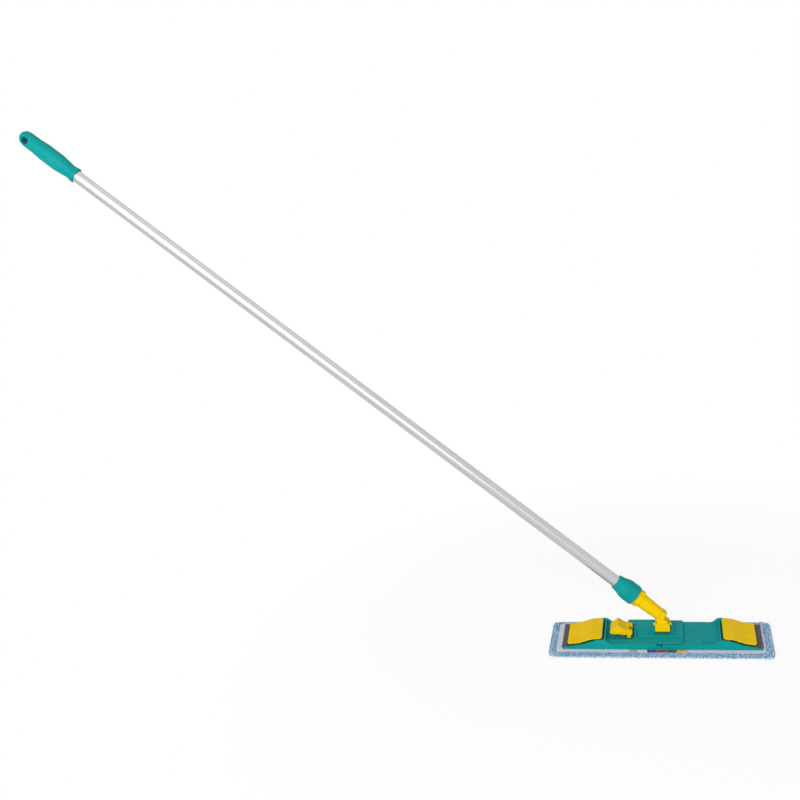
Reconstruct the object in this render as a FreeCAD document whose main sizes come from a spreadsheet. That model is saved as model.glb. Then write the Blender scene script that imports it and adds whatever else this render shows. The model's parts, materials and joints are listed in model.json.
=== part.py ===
import FreeCAD, Part
import Sketcher
import math
import os

"""Folding flat mop: a two-part frame with a microfibre pad, a foot pedal, two sprung
end clamps and a long handle on a two-axis swivel joint.

Row frame, in millimetres: the origin is the middle of the mop's sole on the floor, +X runs
along the mop, +Y towards its back edge and +Z up. The handle's own pieces are drawn upright
about the arm pivot and then leaned towards -X by their Placement.
"""

DRIVING_SIZES = {
    # mop pad
    "pad_length": 430.0,
    "pad_width": 130.0,
    "pad_shift": -2.0,
    "pad_height": 8.4,
    "pad_corner": 12.0,
    "backing_thick": 1.0,
    "backing_border": 14.0,
    "backing_edge": 6.5,
    "fold_relief": 16.5,
    "soft_gap": 0.3,
    # frame
    "frame_width": 94.0,
    "left_tip": 190.5,
    "right_tip": 192.5,
    "left_bay": 108.5,
    "right_bay": 117.0,
    "deck_height": 9.8,
    "deck_rise": 1.6,
    "deck_skin": 2.2,
    "flank_thick": 4.6,
    "flank_height": 19.2,
    "flank_shoulder": 18.0,
    "flank_round": 4.0,
    "bay_floor": 2.6,
    "bay_end": 4.5,
    "cross_wall": 3.4,
    "cross_wall_height": 16.6,
    "plateau_height": 14.8,
    "plateau_front": 20.0,
    "plateau_left": 50.0,
    "plateau_rear_left": 62.5,
    "plateau_rear": 28.0,
    "recess_deep": 4.0,
    "recess_shallow": 0.6,
    "tongue_end": 45.0,
    "tongue_inset": 3.0,
    "tongue_gap": 0.4,
    "pocket_length": 28.0,
    "pocket_width": 12.0,
    "pocket_depth": 1.2,
    "rib_pitch": 17.0,
    "rib_thick": 2.0,
    # fold hinge
    "hinge_x": -1.0,
    "hinge_height": 4.2,
    "hinge_gap": 5.4,
    "knuckle_radius": 4.2,
    "hinge_cap": 2.6,
    "knuckle_first": 9.0,
    "knuckle_gap": 0.4,
    "hinge_pin_radius": 2.0,
    "run_clearance": 0.06,
    # swivel posts and yoke
    "yoke_x": 6.1,
    "yoke_length": 28.0,
    "yoke_width": 28.0,
    "yoke_wall": 2.8,
    "yoke_end_wall": 2.6,
    "yoke_floor": 1.6,
    "yoke_low": 27.6,
    "yoke_round": 5.0,
    "yoke_high": 46.2,
    "trunnion_z": 39.5,
    "trunnion_radius": 3.2,
    "trunnion_length": 3.2,
    "trunnion_end_gap": 0.3,
    "post_gap": 0.5,
    "post_thick": 6.6,
    "post_foot": 6.4,
    "post_head": 5.6,
    "post_over": 2.6,
    "post_bevel": 1.6,
    "snap_width": 4.8,
    "post_shoulder": 3.5,
    "yoke_sweep": 8.0,
    "yoke_recess": 1.6,
    # arm and its socket
    "pivot_z": 43.0,
    "lean": 48.1,
    "arm_offset": 11.0,
    "arm_knuckle": 11.2,
    "arm_side_gap": 0.3,
    "arm_pin_radius": 2.5,
    "arm_pin_blind": 1.6,
    "arm_low_radius": 12.6,
    "arm_high_radius": 14.6,
    "arm_bottom": 6.0,
    "arm_chamfer": 3.4,
    "arm_taper": 13.0,
    "elbow_top": 16.0,
    "elbow_round": 3.0,
    "flange_low": 64.0,
    "lug_high": 75.0,
    "lug_half_width": 5.0,
    "lug_reach": 18.0,
    "collar_wall": 3.9,
    "collar_high": 77.0,
    "thread_wall": 3.4,
    "thread_high": 96.0,
    "collet_wall": 1.6,
    "collet_high": 116.0,
    "collet_slit": 2.0,
    "socket_low": 46.0,
    # ring nut
    "nut_low": 77.4,
    "nut_high": 124.8,
    "nut_mouth": 20.8,
    "nut_belly": 21.6,
    "nut_belly_at": 20.0,
    "nut_neck_swell": 1.8,
    "nut_neck_at": 36.0,
    "nut_wall": 2.8,
    "nut_flat": 20.4,
    "nut_gap": 0.3,
    # tube and grip
    "tube_radius": 12.0,
    "tube_wall": 1.2,
    "grip_low": 1461.0,
    "grip_plug": 46.0,
    "grip_high": 1598.0,
    "grip_lip": 15.2,
    "grip_neck": 13.9,
    "grip_belly": 17.2,
    "grip_end": 15.4,
    "grip_hole_radius": 6.4,
    "grip_hole_long": 3.0,
    "grip_hole_from_tip": 17.5,
    # foot pedal and release rod
    "pedal_left": 97.7,
    "pedal_right": 53.3,
    "pedal_ridge": 81.0,
    "pedal_half_width": 17.0,
    "pedal_low": 26.2,
    "pedal_high": 45.2,
    "pedal_end": 33.0,
    "pedal_skin": 2.4,
    "pedal_notch": 10.0,
    "pedal_notch_deep": 6.0,
    "pedal_pin_x": 60.0,
    "pedal_pin_z": 22.2,
    "pedal_pin_radius": 1.5,
    "pedal_pin_blind": 1.6,
    "pedal_lug_radius": 3.6,
    "pedal_toe": 6.4,
    "toe_thick": 3.0,
    "toe_width": 5.0,
    "tray_floor": 4.8,
    "tray_half_width": 25.0,
    "tray_left": 104.0,
    "tray_right": 51.0,
    "boss_thick": 3.4,
    "rod_width": 7.0,
    "rod_height": 3.0,
    "rod_slot_gap": 0.5,
    "rod_gap": 0.4,
    # end clamps
    "clamp_gap": 3.6,
    "clamp_outer": 10.0,
    "clamp_side_gap": 1.4,
    "clamp_plate": 2.6,
    "clamp_low": 18.6,
    "clamp_high": 31.4,
    "clamp_corner": 6.0,
    "clamp_pin_back": 41.0,
    "clamp_pin_z": 15.6,
    "clamp_pin_radius": 1.5,
    "clamp_lug_radius": 3.0,
    "clamp_lug_thick": 3.0,
    "clamp_lug_y": 24.0,
    "clamp_pin_end": 2.4,
    "tooth_length": 9.0,
    "tooth_thick": 2.0,
    "slot_length": 6.0,
    "slot_width": 1.6,
    "tooth_pitch": 25.5,
    "spring_thick": 0.8,
    "spring_width": 14.0,
    # mop flaps and tags
    "flap_thick": 1.0,
    "flap_reach": 17.0,
    "flap_side_gap": 3.4,
    "tag_width": 18.4,
    "tag_depth": 10.3,
    "tag_inset": 1.0,
    "tag_thick": 0.6,
    "tag_start": -59.2,
}


class Size:
    """A length or angle with the sheet formula that gives it, so that this script's own
    arithmetic and FreeCAD's expressions always agree."""

    def __init__(self, value, formula):
        self.value = float(value)
        self.formula = formula

    @staticmethod
    def of(other):
        if isinstance(other, Size):
            return other
        return Size(other, repr(float(other)))

    def __add__(self, other):
        other = Size.of(other)
        return Size(self.value + other.value, f"({self.formula} + {other.formula})")

    def __sub__(self, other):
        other = Size.of(other)
        return Size(self.value - other.value, f"({self.formula} - {other.formula})")

    def __mul__(self, other):
        other = Size.of(other)
        return Size(self.value * other.value, f"({self.formula} * {other.formula})")

    def __truediv__(self, other):
        other = Size.of(other)
        return Size(self.value / other.value, f"({self.formula} / {other.formula})")

    def __radd__(self, other):
        return Size.of(other) + self

    def __rsub__(self, other):
        return Size.of(other) - self

    def __rmul__(self, other):
        return Size.of(other) * self

    def __neg__(self):
        return Size(-self.value, f"(-1 * {self.formula})")


doc = FreeCAD.newDocument("FlatMop")
sheet = doc.addObject("Spreadsheet::Sheet", "Sizes")


class Named:
    """The driving sizes by name, as Size values bound to the sheet's cells."""


S = Named()
for row, (alias, number) in enumerate(DRIVING_SIZES.items(), 1):
    sheet.set(f"A{row}", alias)
    sheet.set(f"B{row}", str(number))
    sheet.setAlias(f"B{row}", alias)
    setattr(S, alias, Size(number, f"Sizes.{alias}"))
doc.recompute()


# ---------------------------------------------------------------- drawing helpers

def bind(target, prop, size):
    """Bind one property to its formula."""
    target.setExpression(prop, Size.of(size).formula)


def new_body(name):
    body = doc.addObject("PartDesign::Body", name)
    body.Label = name
    return body


def new_sketch(body, plane, offset=0.0):
    """A sketch on one of the body's own origin planes, moved along that plane's normal."""
    support = [f for f in body.Origin.OriginFeatures if f.Role == plane + "_Plane"][0]
    sketch = body.newObject("Sketcher::SketchObject", body.Name + "_sketch")
    sketch.AttachmentSupport = [(support, "")]
    sketch.MapMode = "FlatFace"
    bind(sketch, "AttachmentOffset.Base.z", offset)
    return sketch


def hold_point(sketch, geometry, vertex, u, v):
    """Fix a point of the sketch by its two distances from the origin."""
    for kind, size in (("DistanceX", u), ("DistanceY", v)):
        size = Size.of(size)
        index = sketch.addConstraint(
            Sketcher.Constraint(kind, -1, 1, geometry, vertex, size.value)
        )
        sketch.setExpression(f"Constraints[{index}]", size.formula)


def polygon(sketch, points):
    """A closed outline of straight lines through the points."""
    corners = [FreeCAD.Vector(Size.of(u).value, Size.of(v).value, 0) for u, v in points]
    first = sketch.GeometryCount
    count = len(points)
    for i in range(count):
        sketch.addGeometry(Part.LineSegment(corners[i], corners[(i + 1) % count]), False)
    for i, (u, v) in enumerate(points):
        following = first + (i + 1) % count
        sketch.addConstraint(Sketcher.Constraint("Coincident", first + i, 2, following, 1))
        hold_point(sketch, first + i, 1, u, v)


def rectangle(sketch, u0, u1, v0, v1):
    polygon(sketch, [(u0, v0), (u1, v0), (u1, v1), (u0, v1)])


def circle(sketch, u, v, radius):
    centre = FreeCAD.Vector(Size.of(u).value, Size.of(v).value, 0)
    radius = Size.of(radius)
    index = sketch.addGeometry(Part.Circle(centre, FreeCAD.Vector(0, 0, 1), radius.value))
    hold_point(sketch, index, 3, u, v)
    rule = sketch.addConstraint(Sketcher.Constraint("Radius", index, radius.value))
    sketch.setExpression(f"Constraints[{rule}]", radius.formula)


def extrude(kind, sketch, length, symmetric, flip):
    body = sketch.getParentGeoFeatureGroup()
    feature = body.newObject("PartDesign::" + kind, body.Name + "_" + kind.lower())
    feature.Profile = sketch
    bind(feature, "Length", length)
    feature.SideType = "Symmetric" if symmetric else "One side"
    feature.Reversed = flip
    return feature


def pad(sketch, length, symmetric=False, flip=False):
    return extrude("Pad", sketch, length, symmetric, flip)


def pocket(sketch, length, symmetric=False, flip=False):
    """Cut the sketch into the body, and make sure that it removed material."""
    body = sketch.getParentGeoFeatureGroup()
    doc.recompute()
    before = body.Shape.Volume
    feature = extrude("Pocket", sketch, length, symmetric, flip)
    doc.recompute()
    if not body.Shape.Volume < before:
        raise RuntimeError(f"{body.Label}: a pocket removed nothing")
    return feature


def add_box(body, x0, x1, y0, y1, z0, z1):
    """A block inside the body, given by its limits on each axis."""
    sketch = new_sketch(body, "XY", z0)
    rectangle(sketch, x0, x1, y0, y1)
    return pad(sketch, Size.of(z1) - z0)


def cut_box(body, x0, x1, y0, y1, z0, z1):
    sketch = new_sketch(body, "XY", z0)
    rectangle(sketch, x0, x1, y0, y1)
    return pocket(sketch, Size.of(z1) - z0, flip=True)


def profile_pad(body, points, y0, y1):
    """A side view in X and Z made solid from y0 to y1."""
    sketch = new_sketch(body, "XZ", -Size.of(y1))
    polygon(sketch, points)
    return pad(sketch, Size.of(y1) - y0)


def rod_along_y(body, x, z, radius, y0, y1):
    sketch = new_sketch(body, "XZ", -Size.of(y1))
    circle(sketch, x, z, radius)
    return pad(sketch, Size.of(y1) - y0)


def bore_along_y(body, x, z, radius, y0, y1):
    sketch = new_sketch(body, "XZ", -Size.of(y1))
    circle(sketch, x, z, radius)
    return pocket(sketch, Size.of(y1) - y0, flip=True)


def revolve(body, points, axis_u, cut=False):
    """Turn a side outline about the upright line at axis_u."""
    sketch = new_sketch(body, "XZ")
    polygon(sketch, points)
    line = Part.LineSegment(
        FreeCAD.Vector(Size.of(axis_u).value, 0, 0), FreeCAD.Vector(Size.of(axis_u).value, 10, 0)
    )
    index = sketch.addGeometry(line, True)
    hold_point(sketch, index, 1, axis_u, 0)
    hold_point(sketch, index, 2, axis_u, 10)
    kind = "Groove" if cut else "Revolution"
    feature = body.newObject("PartDesign::" + kind, body.Name + "_" + kind.lower())
    feature.Profile = sketch
    feature.ReferenceAxis = (sketch, ["Axis0"])
    feature.Angle = 360
    return feature


def edges_where(shape, test):
    """Names of the shape's edges whose middle point and direction pass the test."""
    found = []
    for number, edge in enumerate(shape.Edges, 1):
        middle = edge.valueAt((edge.FirstParameter + edge.LastParameter) / 2)
        if test(edge, middle):
            found.append(f"Edge{number}")
    return found


def round_edges(body, radius, test, kind="Fillet"):
    """Fillet or chamfer the edges that pass the test."""
    doc.recompute()
    names = edges_where(body.Tip.Shape, test)
    if not names:
        raise RuntimeError(f"{body.Label}: no edge to round")
    tip = body.Tip
    feature = body.newObject("PartDesign::" + kind, body.Name + "_" + kind.lower())
    feature.Base = (tip, names)
    bind(feature, "Radius" if kind == "Fillet" else "Size", radius)
    doc.recompute()
    if "Invalid" in feature.State or "Error" in feature.State:
        raise RuntimeError(f"{body.Label}: the edges can't be rounded")
    return feature


def runs_along(edge, axis):
    """Whether a straight edge runs along an axis, given as 'x', 'y' or 'z'."""
    if edge.Curve.TypeId != "Part::GeomLine" or len(edge.Vertexes) < 2:
        return False
    span = edge.Vertexes[1].Point - edge.Vertexes[0].Point
    return abs(abs(getattr(span, axis)) - span.Length) < 1e-6


def near(a, b, within=0.05):
    return abs(a - Size.of(b).value) < within


def lean_with_handle(body):
    """Stand the piece on the arm pivot and lean it as the handle leans."""
    body.Placement = FreeCAD.Placement(
        FreeCAD.Vector(S.yoke_x.value, 0, S.pivot_z.value),
        FreeCAD.Rotation(FreeCAD.Vector(0, 1, 0), -S.lean.value),
    )
    bind(body, "Placement.Base.x", S.yoke_x)
    bind(body, "Placement.Base.z", S.pivot_z)
    body.setExpression("Placement.Rotation.Angle", "-1 deg * Sizes.lean")


# ---------------------------------------------------------------- shared levels and places

half_width = S.frame_width / 2
# radii round the tube's end, all following the tube
collet_radius = S.tube_radius + S.collet_wall
thread_radius = S.tube_radius + S.thread_wall
collar_radius = S.tube_radius + S.collar_wall
nut_end = S.tube_radius + S.nut_wall
nut_neck = nut_end + S.nut_neck_swell
frame_low = S.pad_height + S.backing_thick
deck_top = frame_low + S.deck_height
flank_in = half_width - S.flank_thick
plateau_top = frame_low + S.plateau_height
hinge_z = frame_low + S.hinge_height
left_face = S.hinge_x - S.hinge_gap
right_face = S.hinge_x + S.hinge_gap
left_relief = S.hinge_x - S.fold_relief
right_relief = S.hinge_x + S.fold_relief
tongue_low = deck_top + S.tongue_gap
yoke_left = S.yoke_x - S.yoke_length / 2
yoke_right = S.yoke_x + S.yoke_length / 2
yoke_half = S.yoke_width / 2
bay_floor_top = frame_low + S.bay_floor
tray_z = frame_low + S.tray_floor
pedal_pin_x = -S.pedal_pin_x
rod_top = deck_top - S.deck_skin - S.rod_gap
rod_low = rod_top - S.rod_height
# the knuckles share what the frame's width leaves between the first one and the end cap
knuckle_slots = 3
knuckle_room = half_width - S.hinge_cap - S.knuckle_first - S.knuckle_gap * knuckle_slots
knuckle_length = knuckle_room / knuckle_slots
knuckle_spans = []
for slot in range(knuckle_slots):
    start = S.knuckle_first + slot * (knuckle_length + S.knuckle_gap)
    knuckle_spans.append((start, start + knuckle_length))


# ---------------------------------------------------------------- frame halves

def clamp_bay(body, side, tip, bay):
    """The open end of one frame half: its floor, two flanks that rise to a shoulder and the
    cross wall behind the clamp."""
    end = tip - S.bay_end
    add_box(body, *ordered(side * bay, side * end), -flank_in, flank_in, frame_low, bay_floor_top)
    shoulder = frame_low + S.flank_height
    outline = [
        (side * tip, frame_low),
        (side * tip, frame_low + 1.4),
        (side * (tip - 0.5 * (tip - bay)), frame_low + 0.49 * S.flank_height),
        (side * (bay + 0.2 * (tip - bay)), frame_low + 0.92 * S.flank_height),
        (side * (bay + 0.02 * (tip - bay)), shoulder),
        (side * (bay - 0.25 * S.flank_shoulder), shoulder - 1.2),
        (side * (bay - 0.75 * S.flank_shoulder), deck_top + 1.1),
        (side * (bay - S.flank_shoulder), deck_top - 0.4),
        (side * (bay - S.flank_shoulder), frame_low),
    ]
    for y0 in (-half_width, flank_in):
        profile_pad(body, outline, y0, y0 + S.flank_thick)
    flank_rounds(body, side, tip, bay)
    wall_in = bay - S.cross_wall
    add_box(
        body, *ordered(side * wall_in, side * bay), -flank_in, flank_in,
        frame_low, frame_low + S.cross_wall_height,
    )


def ordered(a, b):
    """Two sizes, lower one first."""
    if Size.of(a).value <= Size.of(b).value:
        return a, b
    return b, a


def flank_rounds(body, side, tip, bay):
    """Soften the flanks' side outline into one flowing line."""

    def on_flank(edge, middle):
        above = middle.z > deck_top.value + 0.3
        beyond = side * middle.x > bay.value - S.flank_shoulder.value + 1.0
        short_of_tip = side * middle.x < tip.value - 1.0
        on_side = abs(middle.y) > flank_in.value + 0.1
        return runs_along(edge, "y") and above and beyond and short_of_tip and on_side

    round_edges(body, S.flank_round, on_flank)


def underside_cells(body, x_start, count, y_in, y_out, top):
    """A row of open cells between ribs, moulded up into the underside, front and rear."""
    for sign in (-1, 1):
        sketch = new_sketch(body, "XY", frame_low)
        low, high = ordered(sign * y_in, sign * y_out)
        rectangle(sketch, x_start, x_start + S.rib_pitch - S.rib_thick, low, high)
        cell = pocket(sketch, top - frame_low, flip=True)
        row = body.newObject("PartDesign::LinearPattern", body.Name + "_cells")
        row.Originals = [cell]
        row.Direction = (sketch, ["H_Axis"])
        row.Occurrences = count
        bind(row, "Length", S.rib_pitch * (count - 1))
        body.Tip = row
        doc.recompute()


def knuckles(body, side, slots, pin_fit):
    """Hinge knuckles in the given slots on both sides of the middle, with their webs."""
    face = S.hinge_x + side * S.hinge_gap
    for slot in slots:
        near_y, far_y = knuckle_spans[slot]
        for y0, y1 in ((near_y, far_y), (-far_y, -near_y)):
            low, high = ordered(S.hinge_x, face + side * 0.6)
            add_box(body, low, high, y0, y1, frame_low, hinge_z + S.knuckle_radius - 1.6)
            rod_along_y(body, S.hinge_x, hinge_z, S.knuckle_radius, y0, y1)
    far = knuckle_spans[-1][1] + 1
    bore_along_y(body, S.hinge_x, hinge_z, S.hinge_pin_radius + pin_fit, -far, far)


def swivel_post(body, x0, x1, inner):
    """A tapered post whose head is a snap bearing for one trunnion of the yoke; its edge at x
    = inner is bevelled clear of the arm's swing."""
    head = S.trunnion_z + S.post_over
    sketch = new_sketch(body, "YZ", x0)
    foot_z = plateau_top - 0.5
    polygon(
        sketch,
        [(-S.post_foot, foot_z), (S.post_foot, foot_z), (S.post_head, S.trunnion_z - 4),
         (S.post_head, head - S.post_bevel), (S.post_head - S.post_bevel, head),
         (-S.post_head + S.post_bevel, head), (-S.post_head, head - S.post_bevel),
         (-S.post_head, S.trunnion_z - 4)],
    )
    pad(sketch, x1 - x0)

    def on_inner_top(edge, middle):
        return runs_along(edge, "y") and near(middle.x, inner) and near(middle.z, head)

    round_edges(body, S.post_bevel, on_inner_top, "Chamfer")
    bearing = S.trunnion_length + S.trunnion_end_gap
    if inner is x1:
        outer_low, outer_high = x0, x1 - bearing
    else:
        outer_low, outer_high = x0 + bearing, x1
    cut_box(body, outer_low, outer_high, -S.post_foot, S.post_foot, S.trunnion_z - S.post_shoulder, head + 1)
    sketch = new_sketch(body, "YZ", x0)
    circle(sketch, 0, S.trunnion_z, S.trunnion_radius + S.run_clearance)
    pocket(sketch, x1 - x0, flip=True)
    # the mouth that the trunnion snaps through faces forwards and up
    half = S.snap_width / 2
    ahead_y, ahead_z = -0.866, 0.5
    reach = S.post_foot * 2
    sketch = new_sketch(body, "YZ", x0)
    polygon(
        sketch,
        [(half * ahead_z, S.trunnion_z - half * ahead_y),
         (half * ahead_z + reach * ahead_y, S.trunnion_z - half * ahead_y + reach * ahead_z),
         (-half * ahead_z + reach * ahead_y, S.trunnion_z + half * ahead_y + reach * ahead_z),
         (-half * ahead_z, S.trunnion_z + half * ahead_y)],
    )
    pocket(sketch, x1 - x0, flip=True)


def make_frame_left():
    body = new_body("frame_left")
    profile_pad(
        body,
        [(-S.left_bay, frame_low), (left_face, frame_low), (left_face, deck_top + S.deck_rise),
         (-(S.left_bay - S.flank_shoulder), deck_top - 0.4), (-S.left_bay, deck_top - 0.4)],
        -half_width, half_width,
    )
    clamp_bay(body, -1, S.left_tip, S.left_bay)
    # the tongue runs over the hinge and rests above the right half's deck
    tongue_y = half_width - S.tongue_inset
    add_box(body, left_face - 1, S.tongue_end, -tongue_y, tongue_y, tongue_low, deck_top + S.deck_rise + 0.8)
    sketch = new_sketch(body, "XY", tongue_low)
    polygon(
        sketch,
        [(left_face, -S.plateau_front), (S.tongue_end, -S.plateau_front), (S.tongue_end, tongue_y),
         (left_face, tongue_y)],
    )
    pad(sketch, plateau_top - tongue_low)
    sketch = new_sketch(body, "XY", frame_low + S.deck_skin)
    polygon(
        sketch,
        [(-S.plateau_left, -S.plateau_front + 10), (-S.plateau_left + 12, -S.plateau_front),
         (left_face + 0.1, -S.plateau_front), (left_face + 0.1, half_width),
         (-S.plateau_left, half_width)],
    )
    pad(sketch, plateau_top - frame_low - S.deck_skin)
    add_box(
        body, -S.plateau_rear_left, -S.plateau_left + 1, S.plateau_rear, half_width,
        deck_top - 1, plateau_top,
    )
    # tray round the pedal, with bosses for its pin
    cut_box(body, -S.tray_left, -S.tray_right, -S.tray_half_width, S.tray_half_width, tray_z, plateau_top + 1)
    boss_low = S.pedal_notch - 0.3 - S.boss_thick
    for y0 in (boss_low, -boss_low - S.boss_thick):
        add_box(
            body, pedal_pin_x - S.pedal_lug_radius, pedal_pin_x + S.pedal_lug_radius,
            y0, y0 + S.boss_thick, tray_z - 1, S.pedal_pin_z,
        )
        rod_along_y(body, pedal_pin_x, S.pedal_pin_z, S.pedal_lug_radius, y0, y0 + S.boss_thick)
    far_boss = boss_low + S.boss_thick + 1
    bore_along_y(body, pedal_pin_x, S.pedal_pin_z, S.pedal_pin_radius, -far_boss, far_boss)
    # recess under the yoke, so that its corners can swing
    cut_box(
        body, yoke_left - S.post_gap, yoke_right + S.post_gap, -S.yoke_sweep, S.yoke_sweep,
        plateau_top - S.yoke_recess, plateau_top + 1,
    )
    # recess between the pedal and the posts, whose floor falls towards the front
    recess_left = -S.plateau_left + 5
    sketch = new_sketch(body, "YZ", recess_left)
    polygon(
        sketch,
        [(-S.plateau_front + 4, plateau_top - S.recess_deep), (S.plateau_rear - 12, plateau_top - S.recess_shallow),
         (S.plateau_rear - 12, plateau_top + 1), (-S.plateau_front + 4, plateau_top + 1)],
    )
    pocket(sketch, yoke_left - 11 - recess_left, flip=True)
    left_inner = yoke_left - S.post_gap
    right_inner = yoke_right + S.post_gap
    swivel_post(body, left_inner - S.post_thick, left_inner, left_inner)
    swivel_post(body, right_inner, right_inner + S.post_thick, right_inner)
    # shallow moulded pocket in front of the pedal
    cut_box(
        body, -S.tray_left + 8, -S.tray_left + 8 + S.pocket_length, -half_width + 3.6,
        -half_width + 3.6 + S.pocket_width, deck_top - 0.4 - S.pocket_depth, deck_top + 3,
    )
    # channel for the release rod, from the tray to the hinge side
    half_rod = S.rod_width / 2 + S.rod_gap
    cut_box(
        body, -S.pedal_pin_x - 9, left_face + 0.8, -half_rod, half_rod,
        rod_low - S.rod_gap, rod_top + S.rod_gap,
    )
    knuckles(body, -1, (0, 2), 0)
    # caps that close the ends of the hinge
    cap_in = knuckle_spans[-1][1] + S.knuckle_gap
    for sign in (-1, 1):
        y0, y1 = ordered(sign * cap_in, sign * half_width)
        add_box(body, left_face - 1, S.hinge_x, y0, y1, frame_low, hinge_z + S.knuckle_radius - 1.6)
        rod_along_y(body, S.hinge_x, hinge_z, S.knuckle_radius, y0, y1)
    cells_start = -(S.left_bay - S.cross_wall - 1.5)
    underside_cells(body, cells_start, 5, S.tray_half_width + 2.5, half_width - 2.6, deck_top - S.deck_skin - 1.6)
    bore_along_y(body, -(S.left_tip - S.clamp_pin_back), S.clamp_pin_z, S.clamp_pin_radius,
                 -flank_in - S.clamp_pin_end, flank_in + S.clamp_pin_end)
    return body


def make_frame_right():
    body = new_body("frame_right")
    profile_pad(
        body,
        [(right_face, frame_low), (S.right_bay, frame_low), (S.right_bay, deck_top - 0.4),
         (S.right_bay - S.flank_shoulder, deck_top - 0.4), (S.tongue_end + 8, deck_top),
         (right_face, deck_top)],
        -half_width, half_width,
    )
    clamp_bay(body, 1, S.right_tip, S.right_bay)
    cut_box(
        body, S.right_bay - 9 - S.pocket_length, S.right_bay - 9, -half_width + 3.6,
        -half_width + 3.6 + S.pocket_width, deck_top - 0.4 - S.pocket_depth, deck_top + 3,
    )
    # pocket that the release rod's nose moves into
    half_rod = S.rod_width / 2 + S.rod_gap
    cut_box(body, right_face - 1, right_face + 3, -half_rod, half_rod, rod_low - S.rod_gap, deck_top + 1)
    knuckles(body, 1, (1,), S.run_clearance)
    cells_start = right_face + 9
    underside_cells(body, cells_start, 5, 5.0, half_width - 2.6, deck_top - S.deck_skin - 1.6)
    bore_along_y(body, S.right_tip - S.clamp_pin_back, S.clamp_pin_z, S.clamp_pin_radius,
                 -flank_in - S.clamp_pin_end, flank_in + S.clamp_pin_end)
    return body


def make_hinge_pins():
    pins = []
    for sign in (-1, 1):
        start, end = ordered(sign * knuckle_spans[0][0], sign * knuckle_spans[2][1])
        pin = doc.addObject("Part::Cylinder", "hinge_pin")
        bind(pin, "Radius", S.hinge_pin_radius)
        bind(pin, "Height", Size.of(end) - start)
        pin.Placement = FreeCAD.Placement(FreeCAD.Vector(), FreeCAD.Rotation(FreeCAD.Vector(1, 0, 0), -90))
        bind(pin, "Placement.Base.x", S.hinge_x)
        bind(pin, "Placement.Base.y", start)
        bind(pin, "Placement.Base.z", hinge_z)
        pins.append(pin)
    group = doc.addObject("Part::Compound", "hinge_pins")
    group.Links = pins
    group.Label = "hinge_pins"
    return group


def make_cross_pin(name, x, z, radius, y0, y1):
    """A plain steel pin along Y."""
    pin = doc.addObject("Part::Cylinder", name)
    pin.Label = name
    bind(pin, "Radius", radius)
    bind(pin, "Height", Size.of(y1) - y0)
    pin.Placement = FreeCAD.Placement(FreeCAD.Vector(), FreeCAD.Rotation(FreeCAD.Vector(1, 0, 0), -90))
    bind(pin, "Placement.Base.x", x)
    bind(pin, "Placement.Base.y", y0)
    bind(pin, "Placement.Base.z", z)
    return pin


# ---------------------------------------------------------------- clamps

def make_clamp(name, side, tip, bay):
    """A rocking plate with a curved back, a row of slots and teeth at its outer end."""
    body = new_body(name)
    inner = bay + S.clamp_gap
    outer = tip - S.clamp_outer
    span = outer - inner
    half = flank_in - S.clamp_side_gap
    top = [
        (side * outer, S.clamp_low),
        (side * (inner + 0.66 * span), S.clamp_low + 0.26 * (S.clamp_high - S.clamp_low)),
        (side * (inner + 0.30 * span), S.clamp_high - 1.4),
        (side * inner, S.clamp_high),
    ]
    under = [(u, z - S.clamp_plate) for u, z in reversed(top)]
    profile_pad(body, top + under, -half, half)

    def on_bend(edge, middle):
        inside = abs(middle.x) > inner.value + 2 and abs(middle.x) < outer.value - 2
        return runs_along(edge, "y") and inside

    round_edges(body, 26.0, on_bend)

    def on_corner(edge, middle):
        ends = near(abs(middle.x), inner, 0.5) or near(abs(middle.x), outer, 0.5)
        return runs_along(edge, "z") and ends

    round_edges(body, S.clamp_corner, on_corner)
    pin_x = side * (tip - S.clamp_pin_back)
    lug_top = S.clamp_low + 0.3 * (S.clamp_high - S.clamp_low)
    for sign in (-1, 1):
        y0, y1 = ordered(sign * S.clamp_lug_y, sign * (S.clamp_lug_y + S.clamp_lug_thick))
        add_box(
            body, pin_x - S.clamp_lug_radius, pin_x + S.clamp_lug_radius, y0, y1, S.clamp_pin_z, lug_top,
        )
        rod_along_y(body, pin_x, S.clamp_pin_z, S.clamp_lug_radius, y0, y1)
    tooth_low = bay_floor_top + S.flap_thick + S.soft_gap
    x0, x1 = ordered(side * (outer - 3), side * (outer - 3 - S.tooth_thick))
    for step in (-1, 0, 1):
        middle = step * S.tooth_pitch
        add_box(
            body, x0, x1, middle - S.tooth_length / 2, middle + S.tooth_length / 2,
            tooth_low, S.clamp_low - S.clamp_plate / 2,
        )
    slot_near = outer - 13
    x0, x1 = ordered(side * slot_near, side * (slot_near - S.slot_length))
    for step in (-1, 0, 1):
        middle = step * S.tooth_pitch
        cut_box(body, x0, x1, middle - S.slot_width / 2, middle + S.slot_width / 2, tooth_low, S.clamp_high)
    far = S.clamp_lug_y + S.clamp_lug_thick + 0.5
    bore_along_y(body, pin_x, S.clamp_pin_z, S.clamp_pin_radius + S.run_clearance, -far, far)
    return body


def make_leaf_spring(name, foot_out, foot_in, tip_x, floor, tip_z, half):
    """A bent strip of spring steel, with a flat foot and a leaf that rises from it."""
    body = new_body(name)
    bend = foot_in
    thick = S.spring_thick
    profile_pad(
        body,
        [(foot_out, floor), (bend, floor), (tip_x, tip_z - thick), (tip_x, tip_z),
         (bend, floor + thick), (foot_out, floor + thick)],
        -half, half,
    )
    return body


# ---------------------------------------------------------------- pedal and release rod

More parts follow.
